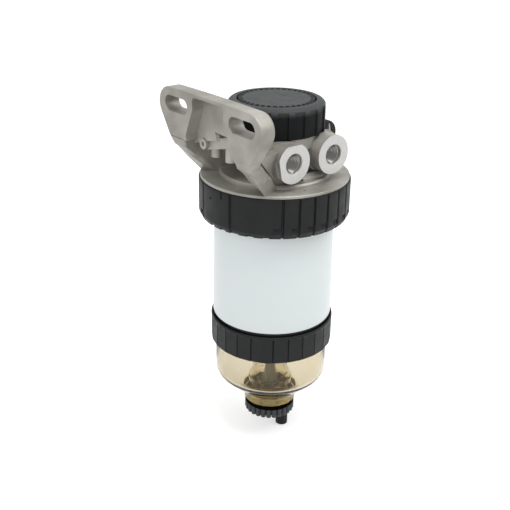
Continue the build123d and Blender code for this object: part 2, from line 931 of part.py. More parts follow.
base_plug_radius = can_bore - running
with BuildPart() as canister_base:
    turned(
        [
            (0, plug_top),
            (base_plug_radius, plug_top),
            (base_plug_radius, can_bottom - running),
            (base_radius, can_bottom - running),
            (base_radius, base_bottom),
            (base_plug_radius - base_ring_wall, base_bottom),
            (base_plug_radius - base_ring_wall, plug_top - base_plate),
            (0, plug_top - base_plate),
        ]
    )
    with BuildSketch(level(plug_top)):
        with PolarLocations(base_hole_circle, base_hole_count):
            Circle(base_hole_radius)
    extrude(amount=-base_plate, mode=Mode.SUBTRACT)
canister_base.part.label = "canister_base"
export_step(canister_base.part, "parts/canister_base.step")

# Filter element: two pressed end caps, a pleated pack, a centre tube and a grommet
pack_top = element_top - end_cap_sheet - running
pack_foot = element_foot + end_cap_sheet + running
pack_radius = element_radius - end_cap_sheet - running
with BuildPart() as element_top_cap:
    turned(
        [
            (tube_radius, element_top),
            (element_radius, element_top),
            (element_radius, element_top - end_cap_height),
            (element_radius - end_cap_sheet, element_top - end_cap_height),
            (element_radius - end_cap_sheet, element_top - end_cap_sheet),
            (tube_radius, element_top - end_cap_sheet),
        ]
    )
element_top_cap.part.label = "element_top_cap"
export_step(element_top_cap.part, "parts/element_top_cap.step")

with BuildPart() as element_bottom_cap:
    turned(
        [
            (0, element_foot),
            (element_radius, element_foot),
            (element_radius, element_foot + end_cap_height),
            (element_radius - end_cap_sheet, element_foot + end_cap_height),
            (element_radius - end_cap_sheet, element_foot + end_cap_sheet),
            (0, element_foot + end_cap_sheet),
        ]
    )
element_bottom_cap.part.label = "element_bottom_cap"
export_step(element_bottom_cap.part, "parts/element_bottom_cap.step")

with BuildPart() as element_pleats:
    with BuildSketch(level(pack_foot)):
        half_pleat = 180 / pleat_count
        pleat_radii = (pack_radius, tube_radius + 2 * tube_wall)
        with BuildLine():
            Polyline(
                *[
                    (
                        pleat_radii[number % 2] * cos(radians(number * half_pleat)),
                        pleat_radii[number % 2] * sin(radians(number * half_pleat)),
                    )
                    for number in range(2 * pleat_count)
                ],
                close=True,
            )
        make_face()
        Circle(tube_radius + running, mode=Mode.SUBTRACT)
    extrude(amount=pack_top - pack_foot)
element_pleats.part.label = "element_pleats"
export_step(element_pleats.part, "parts/element_pleats.step")

with BuildPart() as element_tube:
    with BuildSketch(level(pack_foot)):
        Circle(tube_radius)
        Circle(tube_radius - tube_wall, mode=Mode.SUBTRACT)
    extrude(amount=element_top - grommet_height - running - pack_foot)
element_tube.part.label = "element_tube"
export_step(element_tube.part, "parts/element_tube.step")

with BuildPart() as element_grommet:
    with BuildSketch(level(element_top - grommet_height)):
        Circle(tube_radius - running)
        Circle(nipple_radius + running, mode=Mode.SUBTRACT)
    extrude(amount=grommet_height)
element_grommet.part.label = "element_grommet"
export_step(element_grommet.part, "parts/element_grommet.step")

# Collar that screws onto the canister's base ring and carries the bowl
with BuildPart() as bowl_collar:
    lip_radius = bowl_radius + seat_gap
    turned(
        [
            (bowl_collar_inner, bowl_collar_top),
            (bowl_collar_radius - bowl_collar_rim, bowl_collar_top),
            (bowl_collar_radius, bowl_collar_top - 2 * bowl_collar_rim),
            (bowl_collar_radius, bowl_collar_bottom + bowl_collar_foot),
            (bowl_collar_radius - bowl_collar_foot, bowl_collar_bottom),
            (lip_radius, bowl_collar_bottom),
            (lip_radius, bowl_lip_top),
            (bowl_collar_inner, bowl_lip_top),
        ]
    )
    upright_slots(
        level(bowl_collar_bottom),
        bowl_collar_radius,
        bowl_groove_width,
        bowl_groove_depth,
        bowl_collar_height - 2 * bowl_collar_rim,
        [bowl_groove_phase + number * bowl_groove_pitch for number in range(bowl_grooves)],
    )
bowl_collar.part.label = "bowl_collar"
export_step(bowl_collar.part, "parts/bowl_collar.step")

with BuildPart() as bowl_seal:
    with BuildSketch(level(bowl_flange_top)):
        Circle(bowl_inner + bowl_seal_width)
        Circle(bowl_inner, mode=Mode.SUBTRACT)
    extrude(amount=base_bottom - running - bowl_flange_top)
bowl_seal.part.label = "bowl_seal"
export_step(bowl_seal.part, "parts/bowl_seal.step")

# Clear bowl with a coned bottom and a ribbed neck under it
neck_foot_radius = bowl_neck_radius - bowl_neck_taper
neck_ceiling = bowl_floor - bowl_floor_thickness
cone_tilt = atan2(bowl_shoulder - bowl_cone_foot, bowl_radius - bowl_neck_radius)
inner_shoulder = bowl_shoulder + bowl_wall / tan((radians(90) + cone_tilt) / 2)
floor_radius = bowl_inner - (inner_shoulder - bowl_floor) / tan(cone_tilt)
with BuildPart() as water_bowl:
    with BuildSketch(turning_plane) as bowl_profile:
        with BuildLine():
            Polyline(
                (bowl_inner, inner_shoulder),
                (bowl_inner, bowl_flange_top),
                (bowl_flange_radius, bowl_flange_top),
                (bowl_flange_radius, bowl_flange_bottom),
                (bowl_radius, bowl_flange_bottom),
                (bowl_radius, bowl_shoulder),
                (bowl_neck_radius, bowl_cone_foot),
                (neck_foot_radius, bowl_neck_foot),
                (drain_bore, bowl_neck_foot),
                (drain_bore, bowl_floor + bowl_lip_height),
                (bowl_boss_radius, bowl_floor + bowl_lip_height),
                (bowl_boss_radius, bowl_floor),
                (floor_radius, bowl_floor),
                close=True,
            )
        make_face()
        corners = bowl_profile.vertices()
        outer = corners.sort_by_distance((bowl_radius, bowl_shoulder))[0]
        fillet(outer, bowl_corner)
        inner = bowl_profile.vertices().sort_by_distance((bowl_inner, inner_shoulder))[0]
        fillet(inner, bowl_corner - bowl_wall)
        foot = bowl_profile.vertices().sort_by_distance((bowl_neck_radius, bowl_cone_foot))[0]
        fillet(foot, bowl_foot_corner)
    revolve(axis=filter_axis)
    rib_angle = degrees(bowl_rib_width / bowl_boss_radius)
    for number in range(bowl_rib_count):
        sector(
            level(bowl_neck_foot),
            bowl_boss_radius,
            neck_foot_radius - bowl_neck_wall,
            bowl_rib_phase + number * 360 / bowl_rib_count + rib_angle / 2,
            360 / bowl_rib_count - rib_angle,
            neck_ceiling - bowl_neck_foot,
            mode=Mode.SUBTRACT,
        )
water_bowl.part.label = "water_bowl"
export_step(water_bowl.part, "parts/water_bowl.step")

# Clear bell round the drain, open at the top, slotted at its foot and clipped over the bowl's boss
bell_foot_radius = bowl_boss_radius + seat_gap
with BuildPart() as water_bell:
    turned(
        [
            (bell_top_radius, bell_top),
            (bell_waist_radius, bell_waist),
            (bell_radius, bell_shoulder),
            (bell_radius, bell_skirt),
            (bell_foot_radius + bell_wall, bell_foot),
            (bell_foot_radius + bell_wall, bowl_floor),
            (bell_foot_radius, bowl_floor),
            (bell_foot_radius, bell_foot),
            (bell_radius - bell_wall, bell_skirt),
            (bell_radius - bell_wall, bell_shoulder),
            (bell_waist_radius - bell_wall, bell_waist),
            (bell_top_radius - bell_wall, bell_top),
        ]
    )
    with BuildSketch(level(bowl_floor)):
        with PolarLocations(bowl_boss_radius, bell_slots, bowl_rib_phase):
            Rectangle(bell_radius, bell_slot_width, align=(Align.MIN, Align.CENTER))
    extrude(amount=bell_slot_height, mode=Mode.SUBTRACT)
water_bell.part.label = "water_bell"
export_step(water_bell.part, "parts/water_bell.step")

# Drain valve: a hollow stem that flares to its plug, its seal, the knob and the spout
plug_radius = drain_bore - running
plug_head = bowl_floor + bowl_lip_height
plug_foot = bowl_neck_foot + seat_gap
drain_seal_top = (plug_head + plug_foot + drain_seal_height) / 2
with BuildPart() as drain_stem:
    turned(
        [
            (drain_pipe_bore, drain_stem_top),
            (drain_pipe_radius, drain_stem_top),
            (drain_pipe_radius, drain_flare_top),
            (drain_flare_radius, drain_flare_foot),
            (drain_flare_radius, plug_head),
            (plug_radius, plug_head),
            (plug_radius, drain_seal_top),
            (plug_radius - drain_seal_depth, drain_seal_top),
            (plug_radius - drain_seal_depth, drain_seal_top - drain_seal_height),
            (plug_radius, drain_seal_top - drain_seal_height),
            (plug_radius, plug_foot),
            (drain_tail_radius, plug_foot),
            (drain_tail_radius, drain_knob_bottom + drain_lobe_drop),
            (0, drain_knob_bottom + drain_lobe_drop),
            (0, plug_head),
            (drain_pipe_bore, plug_head),
        ]
    )
drain_stem.part.label = "drain_stem"
export_step(drain_stem.part, "parts/drain_stem.step")

with BuildPart() as drain_seal:
    with BuildSketch(level(drain_seal_top - drain_seal_height + running)):
        Circle(drain_bore - running / 2)
        Circle(plug_radius - drain_seal_depth + running, mode=Mode.SUBTRACT)
    extrude(amount=drain_seal_height - 2 * running)
drain_seal.part.label = "drain_seal"
export_step(drain_seal.part, "parts/drain_seal.step")

drain_rim = drain_knob_radius - drain_lobe_radius
plate_foot = drain_knob_top - drain_chamber_depth - drain_knob_plate
tail_bore = drain_tail_radius + running
spout_place = (spout_offset * cos(radians(spout_angle)), spout_offset * sin(radians(spout_angle)))
with BuildPart() as drain_knob:
    turned(
        [
            (tail_bore, drain_knob_top - drain_chamber_depth),
            (drain_rim - drain_knob_skirt, drain_knob_top - drain_chamber_depth),
            (drain_rim - drain_knob_skirt, drain_knob_top),
            (drain_rim, drain_knob_top),
            (drain_rim, drain_knob_bottom + drain_lobe_drop),
            (drain_rim - drain_knob_skirt, drain_knob_bottom + drain_lobe_drop),
            (drain_rim - drain_knob_skirt, plate_foot),
            (tail_bore + drain_hub_wall, plate_foot),
            (tail_bore + drain_hub_wall, drain_knob_bottom + drain_lobe_drop),
            (tail_bore, drain_knob_bottom + drain_lobe_drop),
        ]
    )
    with BuildSketch(level(drain_knob_bottom)):
        with PolarLocations(drain_rim, drain_lobes):
            Circle(drain_lobe_radius)
    extrude(amount=drain_knob_height - running)
    with BuildSketch(level(plate_foot)):
        with Locations(spout_place):
            Circle(spout_bore)
    extrude(amount=drain_knob_plate, mode=Mode.SUBTRACT)
drain_knob.part.label = "drain_knob"
export_step(drain_knob.part, "parts/drain_knob.step")

with BuildPart() as drain_spout:
    with BuildSketch(level(spout_bottom)):
        with Locations(spout_place):
            Circle(spout_radius)
            Circle(spout_bore, mode=Mode.SUBTRACT)
    extrude(amount=drain_knob_bottom - spout_bottom)
    with BuildSketch(level(drain_knob_bottom)):
        with Locations(spout_place):
            Circle(spout_radius - spout_root)
            Circle(spout_bore, mode=Mode.SUBTRACT)
    extrude(amount=plate_foot - running - drain_knob_bottom)
drain_spout.part.label = "drain_spout"
export_step(drain_spout.part, "parts/drain_spout.step")
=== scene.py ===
import json
import math
import bpy
import bmesh
from mathutils import Euler, Matrix, Vector


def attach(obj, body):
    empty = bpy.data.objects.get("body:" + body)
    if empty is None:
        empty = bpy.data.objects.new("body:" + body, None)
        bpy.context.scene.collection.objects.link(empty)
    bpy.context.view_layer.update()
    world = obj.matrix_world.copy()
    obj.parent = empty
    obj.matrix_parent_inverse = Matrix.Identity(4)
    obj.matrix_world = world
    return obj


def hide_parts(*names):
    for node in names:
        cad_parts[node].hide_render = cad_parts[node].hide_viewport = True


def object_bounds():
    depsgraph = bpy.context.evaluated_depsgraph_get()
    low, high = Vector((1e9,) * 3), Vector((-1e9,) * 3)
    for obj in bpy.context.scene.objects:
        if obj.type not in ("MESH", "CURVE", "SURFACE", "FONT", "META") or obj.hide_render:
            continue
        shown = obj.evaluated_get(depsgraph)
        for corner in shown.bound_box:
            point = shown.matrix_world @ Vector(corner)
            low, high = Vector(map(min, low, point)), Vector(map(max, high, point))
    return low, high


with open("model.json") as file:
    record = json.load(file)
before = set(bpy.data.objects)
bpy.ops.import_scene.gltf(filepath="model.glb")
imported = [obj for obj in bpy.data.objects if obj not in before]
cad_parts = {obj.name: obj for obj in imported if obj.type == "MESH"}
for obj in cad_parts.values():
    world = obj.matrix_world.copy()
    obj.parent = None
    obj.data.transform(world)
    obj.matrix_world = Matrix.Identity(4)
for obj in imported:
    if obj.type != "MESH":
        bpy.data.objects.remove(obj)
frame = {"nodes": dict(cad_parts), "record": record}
nodes = frame["nodes"]
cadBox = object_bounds()
scene = bpy.context.scene
print("frame loaded:", len(nodes), "nodes")

mm = 0.001
filterAxis = 62.5     # from the bracket's face to the filter's axis

# The photograph's viewpoint, worked out from the rims of the collar, can and bowl
view = {
    "location": (0.47183, -0.34050, 0.15537),
    "turn": (65.9704, -0.7768, 51.1337),    # degrees
    "lens": 61.26,
    "sensor": 36.0,
}


def placeCamera():
    lens = bpy.data.cameras.new("camera")
    lens.lens = view["lens"]
    lens.sensor_width = view["sensor"]
    camera = bpy.data.objects.new("camera", lens)
    camera.location = view["location"]
    camera.rotation_euler = Euler([math.radians(turn) for turn in view["turn"]])
    scene.collection.objects.link(camera)
    scene.camera = camera


placeCamera()
print("camera placed")

studio = {
    "floorGap": 0.0006,      # the spout's end clears the floor
    "floorSize": 6.0,
    "floorColour": (0.78, 0.78, 0.78, 1),
    "floorRoughness": 0.9,
    "floorShine": 0.1,
    "floorGlow": 0.48,
    "skyForDiffuse": 0.7,
    "aim": (0, filterAxis * mm, -0.12),
    "lamps": [               # name, place, size, power
        ("keyLamp", (0.72, 0.7, 0.75), (0.7, 0.7), 4.2),
        ("fillLamp", (0.1, -0.9, 0.25), (0.8, 0.6), 2.0),
        ("topLamp", (0.3, 0.0, 0.95), (0.6, 0.6), 7.6),
    ],
}


def combine(tree, operation, first, second):
    node = tree.nodes.new("ShaderNodeMath")
    node.operation = operation
    tree.links.new(first, node.inputs[0])
    tree.links.new(second, node.inputs[1])
    return node.outputs[0]


def seenDirectly(tree):
    path = tree.nodes.new("ShaderNodeLightPath")
    seen = combine(tree, "MAXIMUM", path.outputs["Is Camera Ray"], path.outputs["Is Glossy Ray"])
    return combine(tree, "MAXIMUM", seen, path.outputs["Is Transmission Ray"])


def skyShade(tree, strength):
    shade = tree.nodes.new("ShaderNodeBackground")
    shade.inputs["Color"].default_value = (1, 1, 1, 1)
    shade.inputs["Strength"].default_value = strength
    return shade.outputs[0]


def buildSky():
    world = bpy.data.worlds.new("studio")
    world.use_nodes = True
    tree = world.node_tree
    tree.nodes.clear()
    mixed = tree.nodes.new("ShaderNodeMixShader")
    out = tree.nodes.new("ShaderNodeOutputWorld")
    tree.links.new(seenDirectly(tree), mixed.inputs[0])
    tree.links.new(skyShade(tree, studio["skyForDiffuse"]), mixed.inputs[1])
    tree.links.new(skyShade(tree, 1.0), mixed.inputs[2])
    tree.links.new(mixed.outputs[0], out.inputs["Surface"])
    scene.world = world


def floorPaint():
    paint = bpy.data.materials.new("floorPaint")
    paint.use_nodes = True
    tree = paint.node_tree
    shader = tree.nodes["Principled BSDF"]
    shader.inputs["Base Color"].default_value = studio["floorColour"]
    shader.inputs["Roughness"].default_value = studio["floorRoughness"]
    shader.inputs["Specular IOR Level"].default_value = studio["floorShine"]
    glow = tree.nodes.new("ShaderNodeMath")
    glow.operation = "MULTIPLY"
    glow.inputs[1].default_value = studio["floorGlow"]
    tree.links.new(seenDirectly(tree), glow.inputs[0])
    shader.inputs["Emission Color"].default_value = (1, 1, 1, 1)
    tree.links.new(glow.outputs[0], shader.inputs["Emission Strength"])
    return paint


def layFloor():
    bm = bmesh.new()
    bmesh.ops.create_grid(bm, x_segments=2, y_segments=2, size=studio["floorSize"] / 2)
    level = cadBox[0].z - studio["floorGap"]
    bmesh.ops.translate(bm, verts=bm.verts, vec=(0, filterAxis * mm, level))
    mesh = bpy.data.meshes.new("floor")
    bm.to_mesh(mesh)
    bm.free()
    mesh.materials.append(floorPaint())
    floor = bpy.data.objects.new("floor", mesh)
    scene.collection.objects.link(floor)


def addLamp(name, place, size, power):
    lamp = bpy.data.lights.new(name, "AREA")
    lamp.shape = "RECTANGLE"
    lamp.size, lamp.size_y = size
    lamp.energy = power
    holder = bpy.data.objects.new(name, lamp)
    holder.location = place
    towards = Vector(studio["aim"]) - Vector(place)
    holder.rotation_euler = towards.to_track_quat("-Z", "Y").to_euler()
    scene.collection.objects.link(holder)


buildSky()
layFloor()
for lampRow in studio["lamps"]:
    addLamp(*lampRow)
scene.view_settings.view_transform = "Standard"
print("studio built")


def newFinish(name, colour, roughness, metallic=0.0):
    finish = bpy.data.materials.new(name)
    finish.use_nodes = True
    shader = finish.node_tree.nodes["Principled BSDF"]
    shader.inputs["Base Color"].default_value = (*colour, 1)
    shader.inputs["Roughness"].default_value = roughness
    shader.inputs["Metallic"].default_value = metallic
    return finish, finish.node_tree, shader


def grain(tree, scale, detail=6.0):
    place = tree.nodes.new("ShaderNodeTexCoord")
    noise = tree.nodes.new("ShaderNodeTexNoise")
    noise.inputs["Scale"].default_value = scale
    noise.inputs["Detail"].default_value = detail
    tree.links.new(place.outputs["Object"], noise.inputs["Vector"])
    return noise.outputs["Fac"]


def placeOn(tree):
    place = tree.nodes.new("ShaderNodeTexCoord")
    split = tree.nodes.new("ShaderNodeSeparateXYZ")
    tree.links.new(place.outputs["Object"], split.inputs["Vector"])
    return split.outputs


def mapRange(tree, value, start, end, low=0.0, high=1.0):
    ramp = tree.nodes.new("ShaderNodeMapRange")
    ramp.inputs["From Min"].default_value = start
    ramp.inputs["From Max"].default_value = end
    ramp.inputs["To Min"].default_value = low
    ramp.inputs["To Max"].default_value = high
    tree.links.new(value, ramp.inputs["Value"])
    return ramp.outputs["Result"]


# noise stays mostly between these two, so they are stretched to the range asked for
noiseRange = (0.3, 0.7)


def spread(tree, value, low, high):
    return mapRange(tree, value, *noiseRange, low, high)


def beyond(tree, coordinate, edge, width):
    return mapRange(tree, coordinate, edge, edge + width)


def roughen(tree, shader, height, distance, strength):
    bump = tree.nodes.new("ShaderNodeBump")
    bump.inputs["Distance"].default_value = distance
    bump.inputs["Strength"].default_value = strength
    tree.links.new(height, bump.inputs["Height"])
    tree.links.new(bump.outputs["Normal"], shader.inputs["Normal"])


def blendColours(tree, share, under, over):
    mix = tree.nodes.new("ShaderNodeMix")
    mix.data_type = "RGBA"
    tree.links.new(share, mix.inputs["Factor"])
    for socket, colour in (("A", under), ("B", over)):
        if isinstance(colour, tuple):
            mix.inputs[socket].default_value = (*colour, 1)
        else:
            tree.links.new(colour, mix.inputs[socket])
    return mix.outputs["Result"]


plasticGrain = {
    "blotchScale": 60.0,
    "glossScale": 140.0,
    "glossSpread": (-0.06, 0.08),
    "bumpScale": 900.0,
    "bumpDetail": 3.0,
    "bumpHeight": 0.00004,
    "bumpStrength": 0.5,
}


def plasticFinish(
    name, dark, pale, rough, shine=0.5,
    bumpScale=plasticGrain["bumpScale"], bumpHeight=plasticGrain["bumpHeight"],
):
    finish, tree, shader = newFinish(name, dark, rough)
    shader.inputs["Specular IOR Level"].default_value = shine
    tone = blendColours(tree, grain(tree, plasticGrain["blotchScale"]), dark, pale)
    tree.links.new(tone, shader.inputs["Base Color"])
    smoother, rougher = plasticGrain["glossSpread"]
    blotches = grain(tree, plasticGrain["glossScale"])
    gloss = spread(tree, blotches, rough + smoother, rough + rougher)
    tree.links.new(gloss, shader.inputs["Roughness"])
    bumps = grain(tree, bumpScale, plasticGrain["bumpDetail"])
    roughen(tree, shader, bumps, bumpHeight, plasticGrain["bumpStrength"])
    return finish


castLook = {
    "portFace": (0.0424, 0.026, -0.049),     # metal past this corner was faced off
    "faceEdge": 0.0001,
    "dark": (0.215, 0.205, 0.18),
    "pale": (0.385, 0.373, 0.338),
    "faced": (0.52, 0.52, 0.505),
    "metallic": 0.45,
    "plainRoughness": 0.5,
    "roughness": (0.40, 0.62),
    "blotches": (38.0, 8.0),                 # scale, detail
    "glossScale": 300.0,
    "bumps": (1500.0, 4.0),
    "bumpHeight": 0.00014,
    "bumpStrength": 0.55,
}


def castFinish():
    finish, tree, shader = newFinish(
        "castAluminium", castLook["pale"], castLook["plainRoughness"], castLook["metallic"]
    )
    place = placeOn(tree)
    across, along, up = [
        beyond(tree, place[side], edge, castLook["faceEdge"])
        for side, edge in zip("XYZ", castLook["portFace"])
    ]
    faced = combine(tree, "MULTIPLY", combine(tree, "MULTIPLY", across, along), up)
    mottle = spread(tree, grain(tree, *castLook["blotches"]), 0.0, 1.0)
    raw = blendColours(tree, mottle, castLook["dark"], castLook["pale"])
    tone = blendColours(tree, faced, raw, castLook["faced"])
    tree.links.new(tone, shader.inputs["Base Color"])
    gloss = spread(tree, grain(tree, castLook["glossScale"]), *castLook["roughness"])
    tree.links.new(gloss, shader.inputs["Roughness"])
    bumps = grain(tree, *castLook["bumps"])
    roughen(tree, shader, bumps, castLook["bumpHeight"], castLook["bumpStrength"])
    return finish


knobLook = {
    "plain": (0.009, 0.010, 0.0105),
    # painted light and shade: the side is a darker, shaded copy and the top a paler, lit copy of
    # the plain plastic
    "side": [(0.005, 0.0058, 0.006), (0.0085, 0.0095, 0.01)],
    "top": [(0.048, 0.052, 0.052), (0.056, 0.061, 0.060)],   # painted light: the top is paler where the light from above falls
    "litTopFrom": (-0.0026, 0.0034),                            # height, width of the change from the shaded side to the lit top
    "roughness": 0.55,
    "shine": 0.1,
}


def knobFinish():
    finish, tree, shader = newFinish("knobPlasticLitTop", knobLook["plain"], knobLook["roughness"])
    shader.inputs["Specular IOR Level"].default_value = knobLook["shine"]
    side = blendColours(tree, grain(tree, plasticGrain["blotchScale"]), *knobLook["side"])
    top = blendColours(tree, grain(tree, plasticGrain["blotchScale"]), *knobLook["top"])
    # painted light: the knob is blended by height from its shaded side to its lit top
    upper = beyond(tree, placeOn(tree)["Z"], *knobLook["litTopFrom"])
    tree.links.new(blendColours(tree, upper, side, top), shader.inputs["Base Color"])
    bumps = grain(tree, plasticGrain["bumpScale"], plasticGrain["bumpDetail"])
    roughen(tree, shader, bumps, plasticGrain["bumpHeight"], plasticGrain["bumpStrength"])
    return finish


canLook = {
    "plain": (0.66, 0.73, 0.75),
    "tones": [(0.65, 0.70, 0.702), (0.68, 0.725, 0.727)],
    "toneGrain": (12.0, 2.0),
    # painted shade: the black at the can's foot stands in for the shadowed gap above the bowl
    # collar
    "seam": (0.006, 0.006, 0.006),
    "shadeBandFrom": (-0.1659, -0.0002),    # painted shade: black below this height
    "roughness": 0.35,
    "shine": 0.25,
    "bumps": (260.0, 2.0),
    "bumpHeight": 0.00003,
    "bumpStrength": 0.25,
}


def canFinish():
    finish, tree, shader = newFinish("whiteEnamel", canLook["plain"], canLook["roughness"])
    shader.inputs["Specular IOR Level"].default_value = canLook["shine"]
    tone = blendColours(tree, grain(tree, *canLook["toneGrain"]), *canLook["tones"])
    # painted shade: the can is painted black below the shade line
    below = beyond(tree, placeOn(tree)["Z"], *canLook["shadeBandFrom"])
    tree.links.new(blendColours(tree, below, tone, canLook["seam"]), shader.inputs["Base Color"])
    bumps = grain(tree, *canLook["bumps"])
    roughen(tree, shader, bumps, canLook["bumpHeight"], canLook["bumpStrength"])
    return finish


metalGrain = {
    "scale": 500.0,
    "glossSpread": (-0.08, 0.1),
}


def metalFinish(name, colour, rough):
    finish, tree, shader = newFinish(name, colour, rough, 1.0)
    smoother, rougher = metalGrain["glossSpread"]
    gloss = spread(tree, grain(tree, metalGrain["scale"]), rough + smoother, rough + rougher)
    tree.links.new(gloss, shader.inputs["Roughness"])
    return finish


bowlLook = {
    "wall": (0.93, 0.90, 0.83),
    "neck": (1.0, 0.86, 0.38),
    "neckFrom": (-0.237, -0.005),
    "neckHaze": 0.14,        # share of light that the thick neck scatters
    "roughness": 0.04,
    "bending": 1.27,
    "depth": (0.66, 0.61, 0.47),
    "density": 155.0,
}


def bowlFinish():
    finish, tree, shader = newFinish("clearAmber", bowlLook["wall"], bowlLook["roughness"])
    shader.inputs["IOR"].default_value = bowlLook["bending"]
    neck = beyond(tree, placeOn(tree)["Z"], *bowlLook["neckFrom"])
    tint = blendColours(tree, neck, bowlLook["wall"], bowlLook["neck"])
    tree.links.new(tint, shader.inputs["Base Color"])
    clear = mapRange(tree, neck, 0.0, 1.0, 1.0, 1 - bowlLook["neckHaze"])
    tree.links.new(clear, shader.inputs["Transmission Weight"])
    deep = tree.nodes.new("ShaderNodeVolumeAbsorption")
    deep.inputs["Color"].default_value = (*bowlLook["depth"], 1)
    deep.inputs["Density"].default_value = bowlLook["density"]
    tree.links.new(deep.outputs[0], tree.nodes["Material Output"].inputs["Volume"])
    return finish


# name, darker and paler tone, roughness, shine, then scale and height of the bumps
plastics = {
    "black": ("blackPlastic", (0.0065, 0.007, 0.0075), (0.011, 0.012, 0.0125), 0.48, 0.2),
    # painted light: a paler copy of the knob's black plastic, for the cap's lit top
    "cap": ("capPlasticLit", (0.032, 0.036, 0.036), (0.042, 0.047, 0.047), 0.6, 0.28),
    # painted shade: a near-black sheet laid where there is only shade, in the knob's groove and on
    # the drain knob's top
    "recess": ("recessBlack", (0.002, 0.002, 0.002), (0.003, 0.003, 0.003), 0.9, 0.0),
    "drain": ("drainPlastic", (0.030, 0.033, 0.036), (0.042, 0.046, 0.049), 0.5, 0.3),
    "grey": ("greyPlastic", (0.28, 0.285, 0.27), (0.34, 0.345, 0.325), 0.5),
    "rubber": ("sealRubber", (0.01, 0.01, 0.01), (0.018, 0.018, 0.018), 0.6, 0.3),
    "paper": ("filterPaper", (0.52, 0.42, 0.24), (0.6, 0.5, 0.31), 0.85, 0.3, 500.0, 0.0001),
}
finishes = {key: plasticFinish(*row) for key, row in plastics.items()}
finishes["cast"] = castFinish()
finishes["knob"] = knobFinish()
finishes["can"] = canFinish()
finishes["bowl"] = bowlFinish()
finishes["steel"] = metalFinish("platedSteel", (0.55, 0.55, 0.54), 0.3)
finishes["brass"] = metalFinish("turnedBrass", (0.6, 0.45, 0.18), 0.3)
# painted shade: the bored aluminium is darkened to stand in for the shade inside the port holes
finishes["bored"] = newFinish("boredAluminiumShaded", (0.21, 0.205, 0.195), 0.2, 1.0)[0]

slotFinish = {
    "cast_aluminium": "cast",
    "black_plastic": "black",
    "knob_plastic": "knob",
    "white_can": "can",
    "clear_bowl": "bowl",
    "grey_plastic": "grey",
    "drain_plastic": "drain",
    "seal_rubber": "rubber",
    "steel": "steel",
    "filter_paper": "paper",
    "brass": "brass",
}
for part in frame["record"]["subparts"]:
    node = nodes[part["node"]]
    node.data.materials.clear()
    node.data.materials.append(finishes[slotFinish[part["material_slot"]]])
nodes["drain_spout"].data.materials[0] = finishes["black"]
print("finishes given to the carried-over nodes")


# lengths from here on are in mm, a point of an outline is (radius, height)
def placeOutline(bm, points):
    return [bm.verts.new((radius * mm, 0, height * mm)) for radius, height in points]


def turnPiece(points, steps, closed=True):
    bm = bmesh.new()
    verts = placeOutline(bm, points)
    edges = [bm.edges.new(pair) for pair in zip(verts, verts[1:])]
    if closed:
        edges.append(bm.edges.new((verts[-1], verts[0])))
    bmesh.ops.spin(
        bm, geom=verts + edges, cent=(0, 0, 0), axis=(0, 0, 1),
        angle=2 * math.pi, steps=steps, use_merge=True,
    )
    bmesh.ops.remove_doubles(bm, verts=bm.verts, dist=mm / 1000)
    bmesh.ops.recalc_face_normals(bm, faces=bm.faces)
    return bm


def turnMesh(bm, degrees, axis="Z"):
    matrix = Matrix.Rotation(math.radians(degrees), 3, axis)
    bmesh.ops.rotate(bm, verts=bm.verts, cent=(0, 0, 0), matrix=matrix)


def reachOf(point):
    return math.hypot(point.x, point.y) / mm


def angleOf(point):
    return math.degrees(math.atan2(point.y, point.x))


def turnsAway(point, angle):
    return (angleOf(point) - angle + 180) % 360 - 180


def offMiddle(along, pitch):
    return (along + pitch / 2) % pitch - pitch / 2


def facesDown(face):
    return face.normal.z < -0.9


def standsUpright(face):
    return abs(face.normal.z) < 0.1


def press(vert, depth):
    keep = 1 - depth / reachOf(vert.co)
    vert.co.x *= keep
    vert.co.y *= keep


def repeatRound(bm, count):
    bmesh.ops.spin(
        bm, geom=bm.verts[:] + bm.edges[:] + bm.faces[:], cent=(0, 0, 0), axis=(0, 0, 1),
        angle=2 * math.pi * (count - 1) / count, steps=count - 1, use_duplicate=True,
    )


def bevelEdges(bm, edges, width, segments):
    bmesh.ops.bevel(
        bm, geom=edges, offset=width * mm, segments=segments, profile=0.5, affect="EDGES",
        material=-1,
    )


def finishPiece(bm, name, finish, body, replaced=(), crease=32.0, place=(0, filterAxis, 0)):
    bmesh.ops.translate(bm, verts=bm.verts, vec=[step * mm for step in place])
    mesh = bpy.data.meshes.new(name)
    bm.to_mesh(mesh)
    bm.free()
    mesh.materials.append(finishes[finish])
    mesh.shade_smooth()
    mesh.set_sharp_from_angle(angle=math.radians(crease))
    piece = bpy.data.objects.new(name, mesh)
    scene.collection.objects.link(piece)
    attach(piece, body)
    if replaced:
        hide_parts(*replaced)


knob = {
    "radius": 36.0,
    "top": 4.0,
    "bottom": -18.0,
    "bottomEdge": 0.4,
    "shoulder": 5.0,
    "shoulderParts": 16,
    "rows": (-1.5, -2.0, -3.2, -6, -10, -14),
    "wallInner": 32.8,
    "ceiling": 0.8,
    "hub": [(9, 0.8), (9, -7.2), (5.05, -7.2), (5.05, -2.25), (2.55, -2.25)],
    "screwSeat": [(2.55, 0.15), (5.1, 0.15), (5.1, 2.4)],
    "steps": 360,
    "flutes": 18,
    "phase": -32.2,
    "fluteHalf": 6.1,        # degrees either side of a flute's middle
    "fluteTop": 1.0,
    "fluteDepth": 1.1,
    "grooveOut": 29.2,
    "grooveFloor": 1.6,
    "grooveEdge": 0.25,
    "crease": 40.0,
}


def shoulderArc(radius, top, bend, parts):
    corner = []
    for number in range(parts + 1):
        turn = math.radians(90 - 90 * number / parts)
        corner.append((radius - bend + bend * math.cos(turn), top - bend + bend * math.sin(turn)))
    return corner


